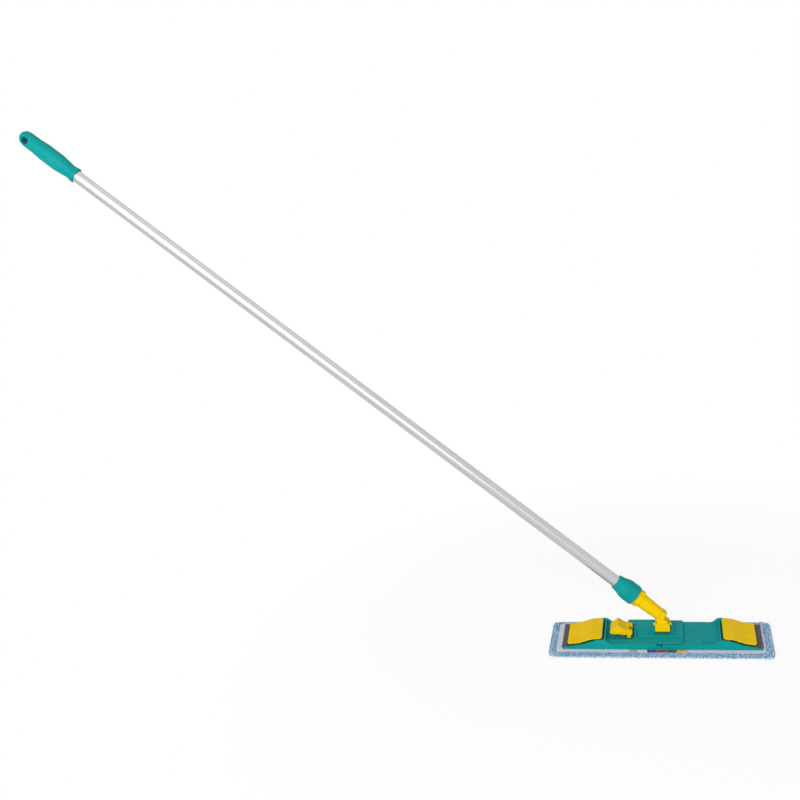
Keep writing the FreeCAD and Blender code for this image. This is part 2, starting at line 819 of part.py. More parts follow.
def make_pedal():
    body = new_body("foot_pedal")
    left = -S.pedal_left
    right = -S.pedal_right
    ridge = -S.pedal_ridge
    half = S.pedal_half_width
    profile_pad(
        body,
        [(left, S.pedal_low + 3), (left + 3, S.pedal_low), (right - 7, S.pedal_low - 1.6),
         (right, S.pedal_low - 1.6), (right, S.pedal_end), (right - 12, S.pedal_end + 1.8),
         (ridge, S.pedal_high), (left + 2.5, S.pedal_high - 11)],
        -half, half,
    )

    def on_top(edge, middle):
        return runs_along(edge, "y") and middle.z > S.pedal_high.value - 3

    round_edges(body, 3.0, on_top)

    def on_nose(edge, middle):
        return runs_along(edge, "y") and middle.x < left.value + 4 and middle.z < S.pedal_high.value - 5

    round_edges(body, 3.5, on_nose)
    notch = S.pedal_notch
    cut_box(body, right - S.pedal_notch_deep, right + 1, -notch, notch, S.pedal_low - 5, S.pedal_high)
    # hollow below the skin
    skin = S.pedal_skin
    sketch = new_sketch(body, "XZ", half - skin)
    polygon(
        sketch,
        [(left + skin + 2, S.pedal_low - 3), (right - S.pedal_notch_deep - skin, S.pedal_low - 3),
         (right - S.pedal_notch_deep - skin, S.pedal_end - skin - 1.2),
         (ridge, S.pedal_high - 2 * skin), (left + skin + 2, S.pedal_high - 12 - 2 * skin)],
    )
    pocket(sketch, 2 * (half - skin), flip=False)
    for sign in (-1, 1):
        y0, y1 = ordered(sign * notch, sign * half)
        add_box(
            body, pedal_pin_x - S.pedal_lug_radius, pedal_pin_x + S.pedal_lug_radius, y0, y1,
            S.pedal_pin_z - S.pedal_lug_radius, S.pedal_low + 2,
        )
    # room for the frame's bosses between the lugs
    cut_box(
        body, pedal_pin_x - S.pedal_lug_radius - 1.2, right + 1, -notch, notch, S.pedal_low - 5,
        S.pedal_pin_z + S.pedal_lug_radius + 0.6,
    )
    # the toe that meets the release rod; it stands at the pin's axis, where the pin's bore is wider than
    # the toe and so parts it from the pedal
    toe_low = rod_low + S.rod_height / 2 - 0.9
    add_box(
        body, pedal_pin_x - S.toe_thick / 2, pedal_pin_x + S.toe_thick / 2, -S.toe_width / 2, S.toe_width / 2,
        toe_low, S.pedal_low + 3,
    )
    bore_along_y(
        body, pedal_pin_x, S.pedal_pin_z, S.pedal_pin_radius + S.run_clearance,
        -half + S.pedal_pin_blind, half + 1,
    )
    return body


def make_release_rod():
    """The push rod between the pedal's toe and the right half."""
    body = new_body("release_rod")
    half = S.rod_width / 2
    start = pedal_pin_x - 7
    end = left_face + 2.0
    add_box(body, start, end, -half, half, rod_low, rod_top)
    slot = S.toe_thick / 2 + S.rod_slot_gap
    cut_box(
        body, pedal_pin_x - slot, pedal_pin_x + slot, -S.toe_width / 2 - S.rod_slot_gap,
        S.toe_width / 2 + S.rod_slot_gap, rod_low, rod_top + 1,
    )

    def on_nose(edge, middle):
        return runs_along(edge, "z") and near(middle.x, end)

    round_edges(body, 2.4, on_nose)
    return body


# ---------------------------------------------------------------- yoke, arm and nut

def make_yoke():
    body = new_body("yoke")
    add_box(body, yoke_left, yoke_right, -yoke_half, yoke_half, S.yoke_low, S.yoke_high)

    def on_low_edge(edge, middle):
        return runs_along(edge, "x") and near(middle.z, S.yoke_low)

    round_edges(body, S.yoke_round, on_low_edge)
    cut_box(
        body, yoke_left + S.yoke_end_wall, yoke_right - S.yoke_end_wall,
        -yoke_half + S.yoke_wall, yoke_half - S.yoke_wall, S.yoke_low + S.yoke_floor, S.yoke_high + 1,
    )
    end_wall_top = S.trunnion_z + S.trunnion_radius + 0.3
    cut_box(
        body, yoke_left - 1, yoke_right + 1, -yoke_half + S.yoke_wall, yoke_half - S.yoke_wall,
        end_wall_top, S.yoke_high + 1,
    )
    for start, flip in ((yoke_left, True), (yoke_right, False)):
        sketch = new_sketch(body, "YZ", start)
        circle(sketch, 0, S.trunnion_z, S.trunnion_radius)
        pad(sketch, S.trunnion_length + S.post_gap, flip=flip)
    bore_along_y(body, S.yoke_x, S.pivot_z, S.arm_pin_radius, -yoke_half + S.arm_pin_blind, yoke_half + 1)
    return body


def make_arm():
    """The swivel arm: a barrel knuckle and elbow, an offset tapered socket and a split collet."""
    body = new_body("joint_arm")
    axis = S.arm_offset
    half = yoke_half - S.yoke_wall - S.arm_side_gap
    low_u = axis - S.arm_low_radius + 0.4
    high_u = axis + S.arm_low_radius - 1.4
    profile_pad(
        body,
        [(low_u, S.elbow_top), (low_u, S.arm_bottom + 5), (-7.2, 8.4), (0, 0), (8.6, 3.4),
         (high_u, S.arm_bottom + 1.2), (high_u, S.elbow_top)],
        -half, half,
    )
    round_edges(body, S.elbow_round, lambda edge, middle: not runs_along(edge, "y"))
    revolve(
        body,
        [(axis, S.arm_bottom), (axis + S.arm_low_radius - S.arm_chamfer, S.arm_bottom),
         (axis + S.arm_low_radius, S.arm_bottom + S.arm_taper), (axis + S.arm_high_radius, S.flange_low - 1.5),
         (axis + collar_radius, S.flange_low), (axis + collar_radius, S.collar_high),
         (axis + thread_radius, S.collar_high), (axis + thread_radius, S.thread_high),
         (axis + collet_radius, S.thread_high + 3), (axis + collet_radius, S.collet_high),
         (axis, S.collet_high)],
        axis,
    )
    # two lugs that the lock nut seats against
    add_box(
        body, axis - S.lug_reach, axis + S.lug_reach, -S.lug_half_width, S.lug_half_width,
        S.flange_low, S.lug_high,
    )
    rod_along_y(body, 0, 0, S.arm_knuckle, -half, half)
    revolve(
        body,
        [(axis, S.socket_low), (axis + S.tube_radius, S.socket_low), (axis + S.tube_radius, S.collet_high + 1),
         (axis, S.collet_high + 1)],
        axis, cut=True,
    )
    sketch = new_sketch(body, "XY", S.thread_high)
    rectangle(sketch, axis - 20, axis + 20, -S.collet_slit / 2, S.collet_slit / 2)
    pocket(sketch, S.collet_high - S.thread_high + 1, flip=True)
    bore_along_y(body, 0, 0, S.arm_pin_radius + S.run_clearance, -half - 1, half + 1)
    lean_with_handle(body)
    return body


def make_lock_nut():
    body = new_body("lock_nut")
    axis = S.arm_offset
    low = S.nut_low
    wall_in = thread_radius + S.nut_gap
    revolve(
        body,
        [(axis + collar_radius + 1.2, low), (axis + S.nut_mouth, low),
         (axis + S.nut_belly, low + S.nut_belly_at * 0.7), (axis + S.nut_belly, low + S.nut_belly_at),
         (axis + nut_neck, low + S.nut_neck_at), (axis + nut_end, S.nut_high - 1.2),
         (axis + nut_end - 1.2, S.nut_high), (axis + S.tube_radius + S.nut_gap, S.nut_high),
         (axis + S.tube_radius + S.nut_gap, S.collet_high + 1),
         (axis + collet_radius + S.nut_gap, S.collet_high + 1),
         (axis + collet_radius + S.nut_gap, S.thread_high + 3.5),
         (axis + wall_in, S.thread_high + 1), (axis + wall_in, low + 2)],
        axis,
    )
    # flats round the barrel for the hand's hold
    corner = S.nut_flat / math.cos(math.pi / 10)
    sketch = new_sketch(body, "XY", low - 1)
    circle(sketch, axis, 0, S.nut_belly + 3)
    polygon(
        sketch,
        [(axis + corner * math.cos(math.pi * k / 5), corner * math.sin(math.pi * k / 5)) for k in range(10)],
    )
    pocket(sketch, S.nut_belly_at + 8, flip=True)
    lean_with_handle(body)
    return body


# ---------------------------------------------------------------- handle

def make_tube():
    outer = doc.addObject("Part::Cylinder", "tube_outside")
    inner = doc.addObject("Part::Cylinder", "tube_inside")
    top = S.grip_high - S.grip_plug
    for piece, radius in ((outer, S.tube_radius), (inner, S.tube_radius - S.tube_wall)):
        bind(piece, "Radius", radius)
        bind(piece, "Height", top - S.socket_low)
        bind(piece, "Placement.Base.x", S.arm_offset)
        bind(piece, "Placement.Base.z", S.socket_low)
    tube = doc.addObject("Part::Cut", "handle_tube")
    tube.Label = "handle_tube"
    tube.Base = outer
    tube.Tool = inner
    lean_with_handle(tube)
    return tube


def make_grip():
    body = new_body("hand_grip")
    axis = S.arm_offset
    low = S.grip_low
    high = S.grip_high
    revolve(
        body,
        [(axis, low), (axis + S.grip_lip - 0.8, low), (axis + S.grip_lip, low + 0.8),
         (axis + S.grip_lip, low + 5), (axis + S.grip_neck, low + 12), (axis + S.grip_neck, low + 17),
         (axis + S.grip_belly, low + 44), (axis + S.grip_belly, low + 78),
         (axis + S.grip_end, low + 100), (axis + S.grip_end, high - 16),
         (axis + S.grip_end - 2.2, high - 7), (axis + S.grip_end - 7, high - 1.6), (axis, high)],
        axis,
    )
    top = high - S.grip_plug
    revolve(
        body,
        [(axis, low - 1), (axis + S.tube_radius, low - 1), (axis + S.tube_radius, top), (axis, top)],
        axis, cut=True,
    )
    hole_z = high - S.grip_hole_from_tip
    for shift in (-0.5, 0.5):
        bore_along_y(body, axis, hole_z + shift * S.grip_hole_long, S.grip_hole_radius, -30, 30)
    cut_box(
        body, axis - S.grip_hole_radius, axis + S.grip_hole_radius, -30, 30,
        hole_z - 0.5 * S.grip_hole_long, hole_z + 0.5 * S.grip_hole_long,
    )
    lean_with_handle(body)
    return body


# ---------------------------------------------------------------- mop

def make_pile(name, x0, x1, outer_side):
    """One stretch of the microfibre pile, with rounded outer corners and edges."""
    body = new_body(name)
    add_box(body, x0, x1, pad_front, pad_back, 0, S.pad_height)
    if outer_side:
        end = pad_left if outer_side < 0 else pad_right

        def on_corner(edge, middle):
            return runs_along(edge, "z") and near(middle.x, end)

        round_edges(body, S.pad_corner, on_corner)
    return body


def make_sheet(name, x0, x1, y0, y1, z0, z1):
    """A flat piece of cloth as a plain block."""
    block = doc.addObject("Part::Box", name)
    block.Label = name
    for prop, low, high, axis in (("Length", x0, x1, "x"), ("Width", y0, y1, "y"), ("Height", z0, z1, "z")):
        bind(block, prop, Size.of(high) - low)
        bind(block, "Placement.Base." + axis, low)
    return block


def make_flap(name, side, tip):
    """The grey flap that folds up round the frame's end and lies under the clamp's teeth."""
    body = new_body(name)
    end = tip - S.bay_end
    half = flank_in - S.flap_side_gap
    profile_pad(
        body,
        [(side * (end + 0.0), frame_low), (side * (end + S.flap_thick), frame_low),
         (side * (end + S.flap_thick), bay_floor_top + S.flap_thick),
         (side * (end - S.flap_reach), bay_floor_top + S.flap_thick),
         (side * (end - S.flap_reach), bay_floor_top), (side * end, bay_floor_top)],
        -half, half,
    )
    return body


def make_tags():
    tags = []
    back = -half_width - S.tag_inset
    for number in range(6):
        x0 = S.tag_start + number * S.tag_width
        tag = doc.addObject("Part::Box", "tag")
        bind(tag, "Length", S.tag_width - 0.2)
        bind(tag, "Width", S.tag_depth)
        bind(tag, "Height", S.tag_thick)
        bind(tag, "Placement.Base.x", x0)
        bind(tag, "Placement.Base.y", back - S.tag_depth)
        bind(tag, "Placement.Base.z", frame_low)
        tags.append(tag)
    group = doc.addObject("Part::Compound", "colour_tags")
    group.Label = "colour_tags"
    group.Links = tags
    return group


# ---------------------------------------------------------------- build

pad_left = S.pad_shift - S.pad_length / 2
pad_right = S.pad_shift + S.pad_length / 2
pad_front = -S.pad_width / 2
pad_back = S.pad_width / 2
cloth_left = pad_left + S.backing_border
cloth_right = pad_right - S.backing_border
cloth_front = pad_front + S.backing_edge
cloth_back = pad_back - S.backing_edge
spring_half = S.spring_width / 2
pin_reach = flank_in + S.clamp_pin_end

pieces = [
    make_tube(),
    make_grip(),
    make_arm(),
    make_lock_nut(),
    make_yoke(),
    make_cross_pin("arm_pin", S.yoke_x, S.pivot_z, S.arm_pin_radius, -yoke_half + S.arm_pin_blind, yoke_half),
    make_frame_left(),
    make_frame_right(),
    make_hinge_pins(),
    make_pedal(),
    make_cross_pin(
        "pedal_pin", pedal_pin_x, S.pedal_pin_z, S.pedal_pin_radius,
        -S.pedal_half_width + S.pedal_pin_blind, S.pedal_half_width,
    ),
    make_leaf_spring(
        "pedal_spring", pedal_pin_x - 9, pedal_pin_x - 18, pedal_pin_x - 30, tray_z,
        S.pedal_low + 4, 5.0,
    ),
    make_release_rod(),
]
for side_name, side, tip, bay in (
    ("left", -1, S.left_tip, S.left_bay), ("right", 1, S.right_tip, S.right_bay),
):
    pin_x = side * (tip - S.clamp_pin_back)
    pieces.append(make_clamp("clamp_plate_" + side_name, side, tip, bay))
    pieces.append(
        make_cross_pin(
            "clamp_pin_" + side_name, pin_x, S.clamp_pin_z, S.clamp_pin_radius, -pin_reach, pin_reach
        )
    )
    pieces.append(
        make_leaf_spring(
            "clamp_spring_" + side_name, side * (tip - S.clamp_pin_back - 6),
            side * (tip - S.clamp_pin_back - 14), side * (bay + S.clamp_gap + 8), bay_floor_top,
            S.clamp_high - S.clamp_plate - 1.2, spring_half,
        )
    )
    pieces.append(make_flap("mop_flap_" + side_name, side, tip))
pieces.append(make_pile("mop_pile_left", pad_left, left_relief, -1))
pieces.append(make_pile("mop_pile_middle", left_relief, right_relief, 0))
pieces.append(make_pile("mop_pile_right", right_relief, pad_right, 1))
for side_name, x0, x1 in (
    ("left", cloth_left, left_relief), ("middle", left_relief, right_relief), ("right", right_relief, cloth_right),
):
    pieces.append(
        make_sheet("mop_backing_" + side_name, x0, x1, cloth_front, cloth_back, S.pad_height, frame_low)
    )
pieces.append(make_tags())

doc.recompute()
for item in doc.Objects:
    if "Invalid" in item.State or "Error" in item.State:
        raise RuntimeError(f"{item.Label} failed to recompute")
os.makedirs("parts", exist_ok=True)
for piece in pieces:
    if piece.Shape.isNull() or not piece.Shape.isValid():
        raise RuntimeError(f"{piece.Label} is not a valid solid")
    piece.Shape.exportStep(f"parts/{piece.Label}.step")
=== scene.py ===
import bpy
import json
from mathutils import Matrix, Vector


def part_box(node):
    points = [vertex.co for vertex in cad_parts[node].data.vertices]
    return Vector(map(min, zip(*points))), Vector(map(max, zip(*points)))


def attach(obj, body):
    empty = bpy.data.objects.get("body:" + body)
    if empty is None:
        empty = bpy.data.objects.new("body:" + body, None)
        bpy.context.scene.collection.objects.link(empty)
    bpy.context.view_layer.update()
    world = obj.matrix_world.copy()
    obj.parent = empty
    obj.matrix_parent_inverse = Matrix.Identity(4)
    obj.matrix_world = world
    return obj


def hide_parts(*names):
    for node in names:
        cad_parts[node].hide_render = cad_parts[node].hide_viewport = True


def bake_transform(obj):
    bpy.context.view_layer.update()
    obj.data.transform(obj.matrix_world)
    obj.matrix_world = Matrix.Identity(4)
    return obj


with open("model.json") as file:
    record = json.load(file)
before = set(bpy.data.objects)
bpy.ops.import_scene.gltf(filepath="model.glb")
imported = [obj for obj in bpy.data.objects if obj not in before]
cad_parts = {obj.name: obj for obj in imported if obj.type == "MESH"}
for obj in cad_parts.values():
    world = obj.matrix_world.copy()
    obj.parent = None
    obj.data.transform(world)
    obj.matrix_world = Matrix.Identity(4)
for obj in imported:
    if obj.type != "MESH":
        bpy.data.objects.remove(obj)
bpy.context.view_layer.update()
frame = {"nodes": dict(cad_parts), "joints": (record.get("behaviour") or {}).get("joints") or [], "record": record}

"""Dresses the folding flat mop: a looped microfibre pad with its backing cloth, flaps and
ribbon tags, moulded plastics, anodised tube and steel, on a pale floor in soft studio light.

Every place is read from the frame's own nodes, in metres: +X along the mop, +Y towards its
back edge and +Z up.
"""

import json
import logging
import math
import random
from dataclasses import dataclass
from enum import Enum
from typing import Any

import bmesh
import bpy
from mathutils import Matrix, Vector, noise

LOG = logging.getLogger("flat_mop")
Colour = tuple[float, float, float]
Place = tuple[float, float, float]
WHITE: Colour = (1.0, 1.0, 1.0)


# ------------------------------------------------------------------ shader building

class Wire:
    """One value, colour or vector on its way through a node tree."""

    def __init__(self, tree: "NodeTree", socket: bpy.types.NodeSocket) -> None:
        """Wrap an output socket of the tree."""
        self.tree = tree
        self.socket = socket

    def maths(self, operation: str, *terms: Any) -> "Wire":
        """A Math node of the given operation on the terms."""
        return self.tree.add("ShaderNodeMath", {"operation": operation}, dict(enumerate(terms)))

    def __add__(self, other: Any) -> "Wire":
        """self + other."""
        return self.maths("ADD", self, other)

    def __radd__(self, other: Any) -> "Wire":
        """other + self."""
        return self.maths("ADD", other, self)

    def __sub__(self, other: Any) -> "Wire":
        """self - other."""
        return self.maths("SUBTRACT", self, other)

    def __rsub__(self, other: Any) -> "Wire":
        """other - self."""
        return self.maths("SUBTRACT", other, self)

    def __mul__(self, other: Any) -> "Wire":
        """self * other."""
        return self.maths("MULTIPLY", self, other)

    def __rmul__(self, other: Any) -> "Wire":
        """other * self."""
        return self.maths("MULTIPLY", other, self)

    def sine(self) -> "Wire":
        """The sine of self, in radians."""
        return self.maths("SINE", self)

    def spread(self, low: float, high: float, to_low: float, to_high: float) -> "Wire":
        """Map the span low to high onto to_low to to_high, clamped.

        Args:
            low: value that becomes to_low.
            high: value that becomes to_high.
            to_low: result at low.
            to_high: result at high.

        Returns:
            The mapped value.
        """
        values = {0: self, 1: low, 2: high, 3: to_low, 4: to_high}
        return self.tree.add("ShaderNodeMapRange", {"clamp": True}, values)


class NodeTree:
    """The nodes of one material or of the surround."""

    def __init__(self, owner: bpy.types.Material | bpy.types.World) -> None:
        """Start an empty tree.

        Args:
            owner: the material or world that the nodes belong to.
        """
        owner.use_nodes = True
        self.links = owner.node_tree.links
        self.nodes = owner.node_tree.nodes
        self.nodes.clear()

    def link(self, out: bpy.types.NodeSocket, into: bpy.types.NodeSocket) -> None:
        """Join two sockets."""
        self.links.new(out, into)

    def put(self, socket: bpy.types.NodeSocket, value: Any) -> None:
        """Link a Wire to a socket, or set the socket's own value.

        Args:
            socket: the input socket.
            value: a Wire, a colour, a vector or a number.
        """
        if isinstance(value, Wire):
            self.link(value.socket, socket)
        elif isinstance(value, (tuple, list)) and socket.type == "RGBA":
            socket.default_value = (*value[:3], 1.0)
        else:
            socket.default_value = value

    def add(
        self, kind: str, settings: dict[str, Any] | None = None,
        values: dict[Any, Any] | None = None, out: Any = 0,
    ) -> Wire:
        """Add a node.

        Args:
            kind: the node's type.
            settings: its properties, set before its sockets.
            values: values or links of its input sockets, by name or number.
            out: the output to return, by name or number.

        Returns:
            The chosen output.
        """
        node = self.nodes.new(kind)
        for key, value in (settings or {}).items():
            setattr(node, key, value)
        for key, value in (values or {}).items():
            self.put(node.inputs[key], value)
        return Wire(self, node.outputs[out])

    def seen(self) -> Wire:
        """Which rays show a surface itself, straight or by a mirror or glass.

        Returns:
            1 on those rays and 0 on the ones that only light.
        """
        kinds = ("Camera", "Glossy", "Transmission")
        camera, mirrored, through = (
            self.add("ShaderNodeLightPath", out=f"Is {kind} Ray") for kind in kinds
        )
        return camera + mirrored + through


class Shader(NodeTree):
    """A material's node tree round one Principled shader."""

    def __init__(self, name: str) -> None:
        """Start a material with its output and Principled nodes.

        Args:
            name: the material's name.
        """
        self.material = bpy.data.materials.new(name)
        super().__init__(self.material)
        self.output = self.nodes.new("ShaderNodeOutputMaterial")
        self.surface = self.nodes.new("ShaderNodeBsdfPrincipled")
        self.link(self.surface.outputs["BSDF"], self.output.inputs["Surface"])

    def place(self, turn: Vector = Vector(), stretch: Vector = Vector((1, 1, 1))) -> Wire:
        """Object coordinates, turned back and then stretched.

        Args:
            turn: angles of the pattern in radians.
            stretch: how many times finer the pattern is along each of its own axes.

        Returns:
            The coordinates.
        """
        here = self.add("ShaderNodeTexCoord", out="Object")
        sizes = [1 / s for s in stretch]
        return self.add(
            "ShaderNodeMapping", {"vector_type": "TEXTURE"},
            {"Vector": here, "Rotation": turn, "Scale": sizes},
        )

    def noise(self, size: float, where: Wire, detail: float = 2.0, rough: float = 0.5) -> Wire:
        """Fractal noise with grains about size metres across."""
        values = {"Vector": where, "Scale": 1 / size, "Detail": detail, "Roughness": rough}
        return self.add("ShaderNodeTexNoise", {}, values)

    def cells(self, size: float, where: Wire) -> Wire:
        """Distance from the middle of scattered cells about size metres across."""
        return self.add("ShaderNodeTexVoronoi", {}, {"Vector": where, "Scale": 1 / size})

    def mix(self, factor: Any, first: Any, second: Any) -> Wire:
        """Mix two colours by a factor."""
        return self.add(
            "ShaderNodeMix", {"data_type": "RGBA"}, {0: factor, 6: first, 7: second}, 2,
        )

    def split(self, where: Wire) -> tuple[Wire, Wire, Wire]:
        """The three parts of a vector."""
        first = self.add("ShaderNodeSeparateXYZ", {}, {0: where})
        return tuple(Wire(self, out) for out in first.socket.node.outputs)

    def bump(self, height: Wire, depth: float, under: Wire | None = None) -> Wire:
        """A bumped normal.

        Args:
            height: relief from 0 to 1.
            depth: how deep a full step is, in metres.
            under: the normal that it builds on.

        Returns:
            The normal.
        """
        values = {"Height": height, "Distance": depth, "Strength": 1.0}
        if under is not None:
            values["Normal"] = under
        return self.add("ShaderNodeBump", {}, values)

    def soft_edge(self, radius: float) -> Wire:
        """A normal that rounds sharp edges over a radius in metres."""
        return self.add("ShaderNodeBevel", {"samples": 6}, {"Radius": radius})

    def finish(self, sockets: dict[str, Any]) -> bpy.types.Material:
        """Set or feed the Principled shader's sockets.

        Args:
            sockets: values or links by socket name.

        Returns:
            The finished material.
        """
        for name, value in sockets.items():
            self.put(self.surface.inputs[name], value)
        return self.material


# ------------------------------------------------------------------ finishes

@dataclass(frozen=True)
class MouldedPlastic:
    """Injection-moulded plastic: fine satin grain, soft edges and faint rub marks."""

    name: str
    colour: Colour
    deep: Colour
    roughness: float = 0.44
    edge: float = 0.0007
    cloud_size: float = 0.035
    grain_size: float = 0.0007
    grain_depth: float = 0.00003
    scuff_size: float = 0.0018
    scuff_amount: float = 0.10

    def build(self) -> bpy.types.Material:
        """Make the material.

        Returns:
            The material.
        """
        s = Shader(self.name)
        here = s.place()
        cloud = s.noise(self.cloud_size, here, 3.0)
        grain = s.noise(self.grain_size, here, 2.0, 0.6)
        scuff = s.noise(self.scuff_size, s.place(stretch=Vector((0.2, 1.0, 1.0))), 3.0, 0.7)
        rubbed = scuff.spread(0.60, 0.78, 0.0, self.scuff_amount)
        pale = tuple(min(1.0, c * 1.10 + 0.01) for c in self.colour)
        colour = s.mix(cloud.spread(0.3, 0.7, 0.0, 1.0), self.colour, self.deep)
        colour = s.mix(rubbed, colour, pale)
        gloss = cloud.spread(0.3, 0.7, self.roughness - 0.04, self.roughness + 0.05)
        return s.finish({
            "Base Color": colour, "Roughness": gloss + rubbed, "Specular IOR Level": 0.05,
            "Normal": s.bump(grain, self.grain_depth, s.soft_edge(self.edge)),
        })


@dataclass(frozen=True)
class AnodisedTube:
    """Satin anodised aluminium, with drawing lines along the leaning handle."""

    name: str
    colour: Colour
    lean: float
    line_size: float = 0.0007
    line_depth: float = 0.0000006
    band_size: float = 0.003
    cloud_size: float = 0.06

    def build(self) -> bpy.types.Material:
        """Make the material.

        Returns:
            The material.
        """
        s = Shader(self.name)
        turn = Vector((0.0, self.lean, 0.0))
        lines = s.noise(self.line_size, s.place(turn, Vector((1.0, 1.0, 0.004))), 3.0, 0.7)
        bands = s.noise(self.band_size, s.place(turn, Vector((1.0, 1.0, 0.01))), 2.0, 0.5)
        cloud = s.noise(self.cloud_size, s.place(turn), 2.0, 0.5)
        dark = tuple(c * 0.84 for c in self.colour)
        shade = lines.spread(0.35, 0.65, 0.0, 0.15) + cloud.spread(0.35, 0.65, 0.0, 0.3)
        gloss = bands.spread(0.3, 0.7, 0.30, 0.38) + cloud.spread(0.35, 0.65, -0.02, 0.03)
        return s.finish({
            "Base Color": s.mix(shade, self.colour, dark), "Metallic": 1.0, "Roughness": gloss,
            "Normal": s.bump(lines, self.line_depth),
        })


@dataclass(frozen=True)
class DrawnSteel:
    """Plain drawn or rolled steel."""

    name: str
    colour: Colour
    roughness: float
    line_size: float = 0.0004
    line_depth: float = 0.00001

    def build(self) -> bpy.types.Material:
        """Make the material.

        Returns:
            The material.
        """
        s = Shader(self.name)
        lines = s.noise(self.line_size, s.place(stretch=Vector((1.0, 0.05, 1.0))), 2.0, 0.6)
        dull = tuple(c * 0.8 for c in self.colour)
        gloss = lines.spread(0.3, 0.7, self.roughness - 0.05, self.roughness + 0.08)
        return s.finish({
            "Base Color": s.mix(lines.spread(0.4, 0.6, 0.0, 1.0), self.colour, dull),
            "Metallic": 1.0, "Roughness": gloss, "Normal": s.bump(lines, self.line_depth),
        })


@dataclass(frozen=True)
class LoopedMicrofibre:
    """Blue microfibre yarn: mottled, with a fuzz of fine fibres and painted shade between loops."""

    name: str
    light: Colour
    middle: Colour
    # painted shade: the colour laid into the hollows between the loops
    dark: Colour
    loop_size: float = 0.0034
    loop_depth: float = 0.0010
    fleck_size: float = 0.0045
    fibre_size: float = 0.0005

    def build(self) -> bpy.types.Material:
        """Make the material.

        Returns:
            The material.
        """
        s = Shader(self.name)
        here = s.place()
        loops = s.cells(self.loop_size, here)
        fleck = s.noise(self.fleck_size, here, 3.0, 0.65)
        fibre = s.noise(self.fibre_size, here, 2.0, 0.6)
        colour = s.mix(fleck.spread(0.38, 0.62, 0.0, 1.0), self.middle, self.light)
        # painted shade: mixes towards dark at the rims of the loop cells, where the pile dips between loops
        colour = s.mix(loops.spread(0.35, 0.85, 0.0, 0.8), colour, self.dark)
        height = (1.0 - loops) * 0.8 + fibre * 0.2
        return s.finish({
            "Base Color": colour, "Roughness": 0.95, "Normal": s.bump(height, self.loop_depth),
            "Sheen Weight": 0.3, "Sheen Roughness": 0.5, "Specular IOR Level": 0.2,
        })


@dataclass(frozen=True)
class WovenCloth:
    """Plain woven cloth with slubs, its threads drawn on the object's own axes."""

    name: str
    colour: Colour
    shade: Colour
    pitch: float
    depth: float = 0.00012
    sheen: float = 0.15
    slub_size: float = 0.004
    cloud_size: float = 0.03

    def build(self) -> bpy.types.Material:
        """Make the material.

        Returns:
            The material.
        """
        s = Shader(self.name)
        x, y, z = s.split(s.place())
        count = 2 * math.pi / self.pitch
        weave = ((x * count).sine() * ((y + z) * count).sine()).spread(-1.0, 1.0, 0.0, 1.0)
        slub = s.noise(self.slub_size, s.place(stretch=Vector((0.2, 1.0, 1.0))), 2.0, 0.6)
        cloud = s.noise(self.cloud_size, s.place(), 2.0)
        uneven = slub.spread(0.35, 0.65, 0.0, 0.35) + cloud.spread(0.35, 0.65, 0.0, 0.2)
        tone = weave * 0.45 + uneven
        return s.finish({
            "Base Color": s.mix(tone, self.colour, self.shade), "Roughness": 0.88,
            "Normal": s.bump(weave + slub * 0.5, self.depth), "Sheen Weight": self.sheen,
            "Specular IOR Level": 0.25,
        })


class TagColour(Enum):
    """The colour-coding ribbons, from left to right."""

    GREY = (0.46, 0.46, 0.47)
    WHITE = (0.78, 0.78, 0.80)
    BLUE = (0.017, 0.030, 0.27)
    RED = (0.33, 0.004, 0.035)
    GREEN = (0.002, 0.10, 0.035)
    YELLOW = (0.83, 0.46, 0.03)


# ------------------------------------------------------------------ mesh helpers

def new_piece(
    name: str, shape: bmesh.types.BMesh, *materials: bpy.types.Material
) -> bpy.types.Object:
    """Turn a finished bmesh into a smooth-shaded piece at the origin.

    Args:
        name: the piece's name.
        shape: its bmesh, which is freed.
        materials: its finishes.

    Returns:
        The new object.
    """
    mesh = bpy.data.meshes.new(name)
    shape.to_mesh(mesh)
    shape.free()
    mesh.shade_smooth()
    for material in materials:
        mesh.materials.append(material)
    piece = bpy.data.objects.new(name, mesh)
    bpy.context.scene.collection.objects.link(piece)
    LOG.info("%s: %d faces", name, len(mesh.polygons))
    return piece


def bake_modifiers(piece: bpy.types.Object) -> None:
    """Apply all of a piece's modifiers to its mesh, keeping its finishes.

    Args:
        piece: the piece, whose modifiers are cleared.
    """
    graph = bpy.context.evaluated_depsgraph_get()
    baked = bpy.data.meshes.new_from_object(piece.evaluated_get(graph))
    if not baked.materials:
        for finish in piece.data.materials:
            baked.materials.append(finish)
    piece.modifiers.clear()
    piece.data = baked
    baked.shade_smooth()


def joined_box(prefix: str) -> tuple[Vector, Vector]:
    """The space that the left, middle and right nodes of a soft layer fill together.

    Args:
        prefix: what the three nodes' names start with.

    Returns:
        Its lowest and highest corners.
    """
    spans = [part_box(f"{prefix}_{part}") for part in ("left", "middle", "right")]
    low = Vector([min(span[0][i] for span in spans) for i in range(3)])
    high = Vector([max(span[1][i] for span in spans) for i in range(3)])
    return low, high


def plan_of(low: Vector, high: Vector) -> tuple[Vector, Vector]:
    """The middle and the half sizes of a box seen from above."""
    return ((low + high) / 2).to_2d().to_3d(), ((high - low) / 2).to_2d().to_3d()


def across_fold(piece: bpy.types.Object) -> None:
    """Bake a soft piece's place into its mesh."""
    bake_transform(piece)


# ------------------------------------------------------------------ mop

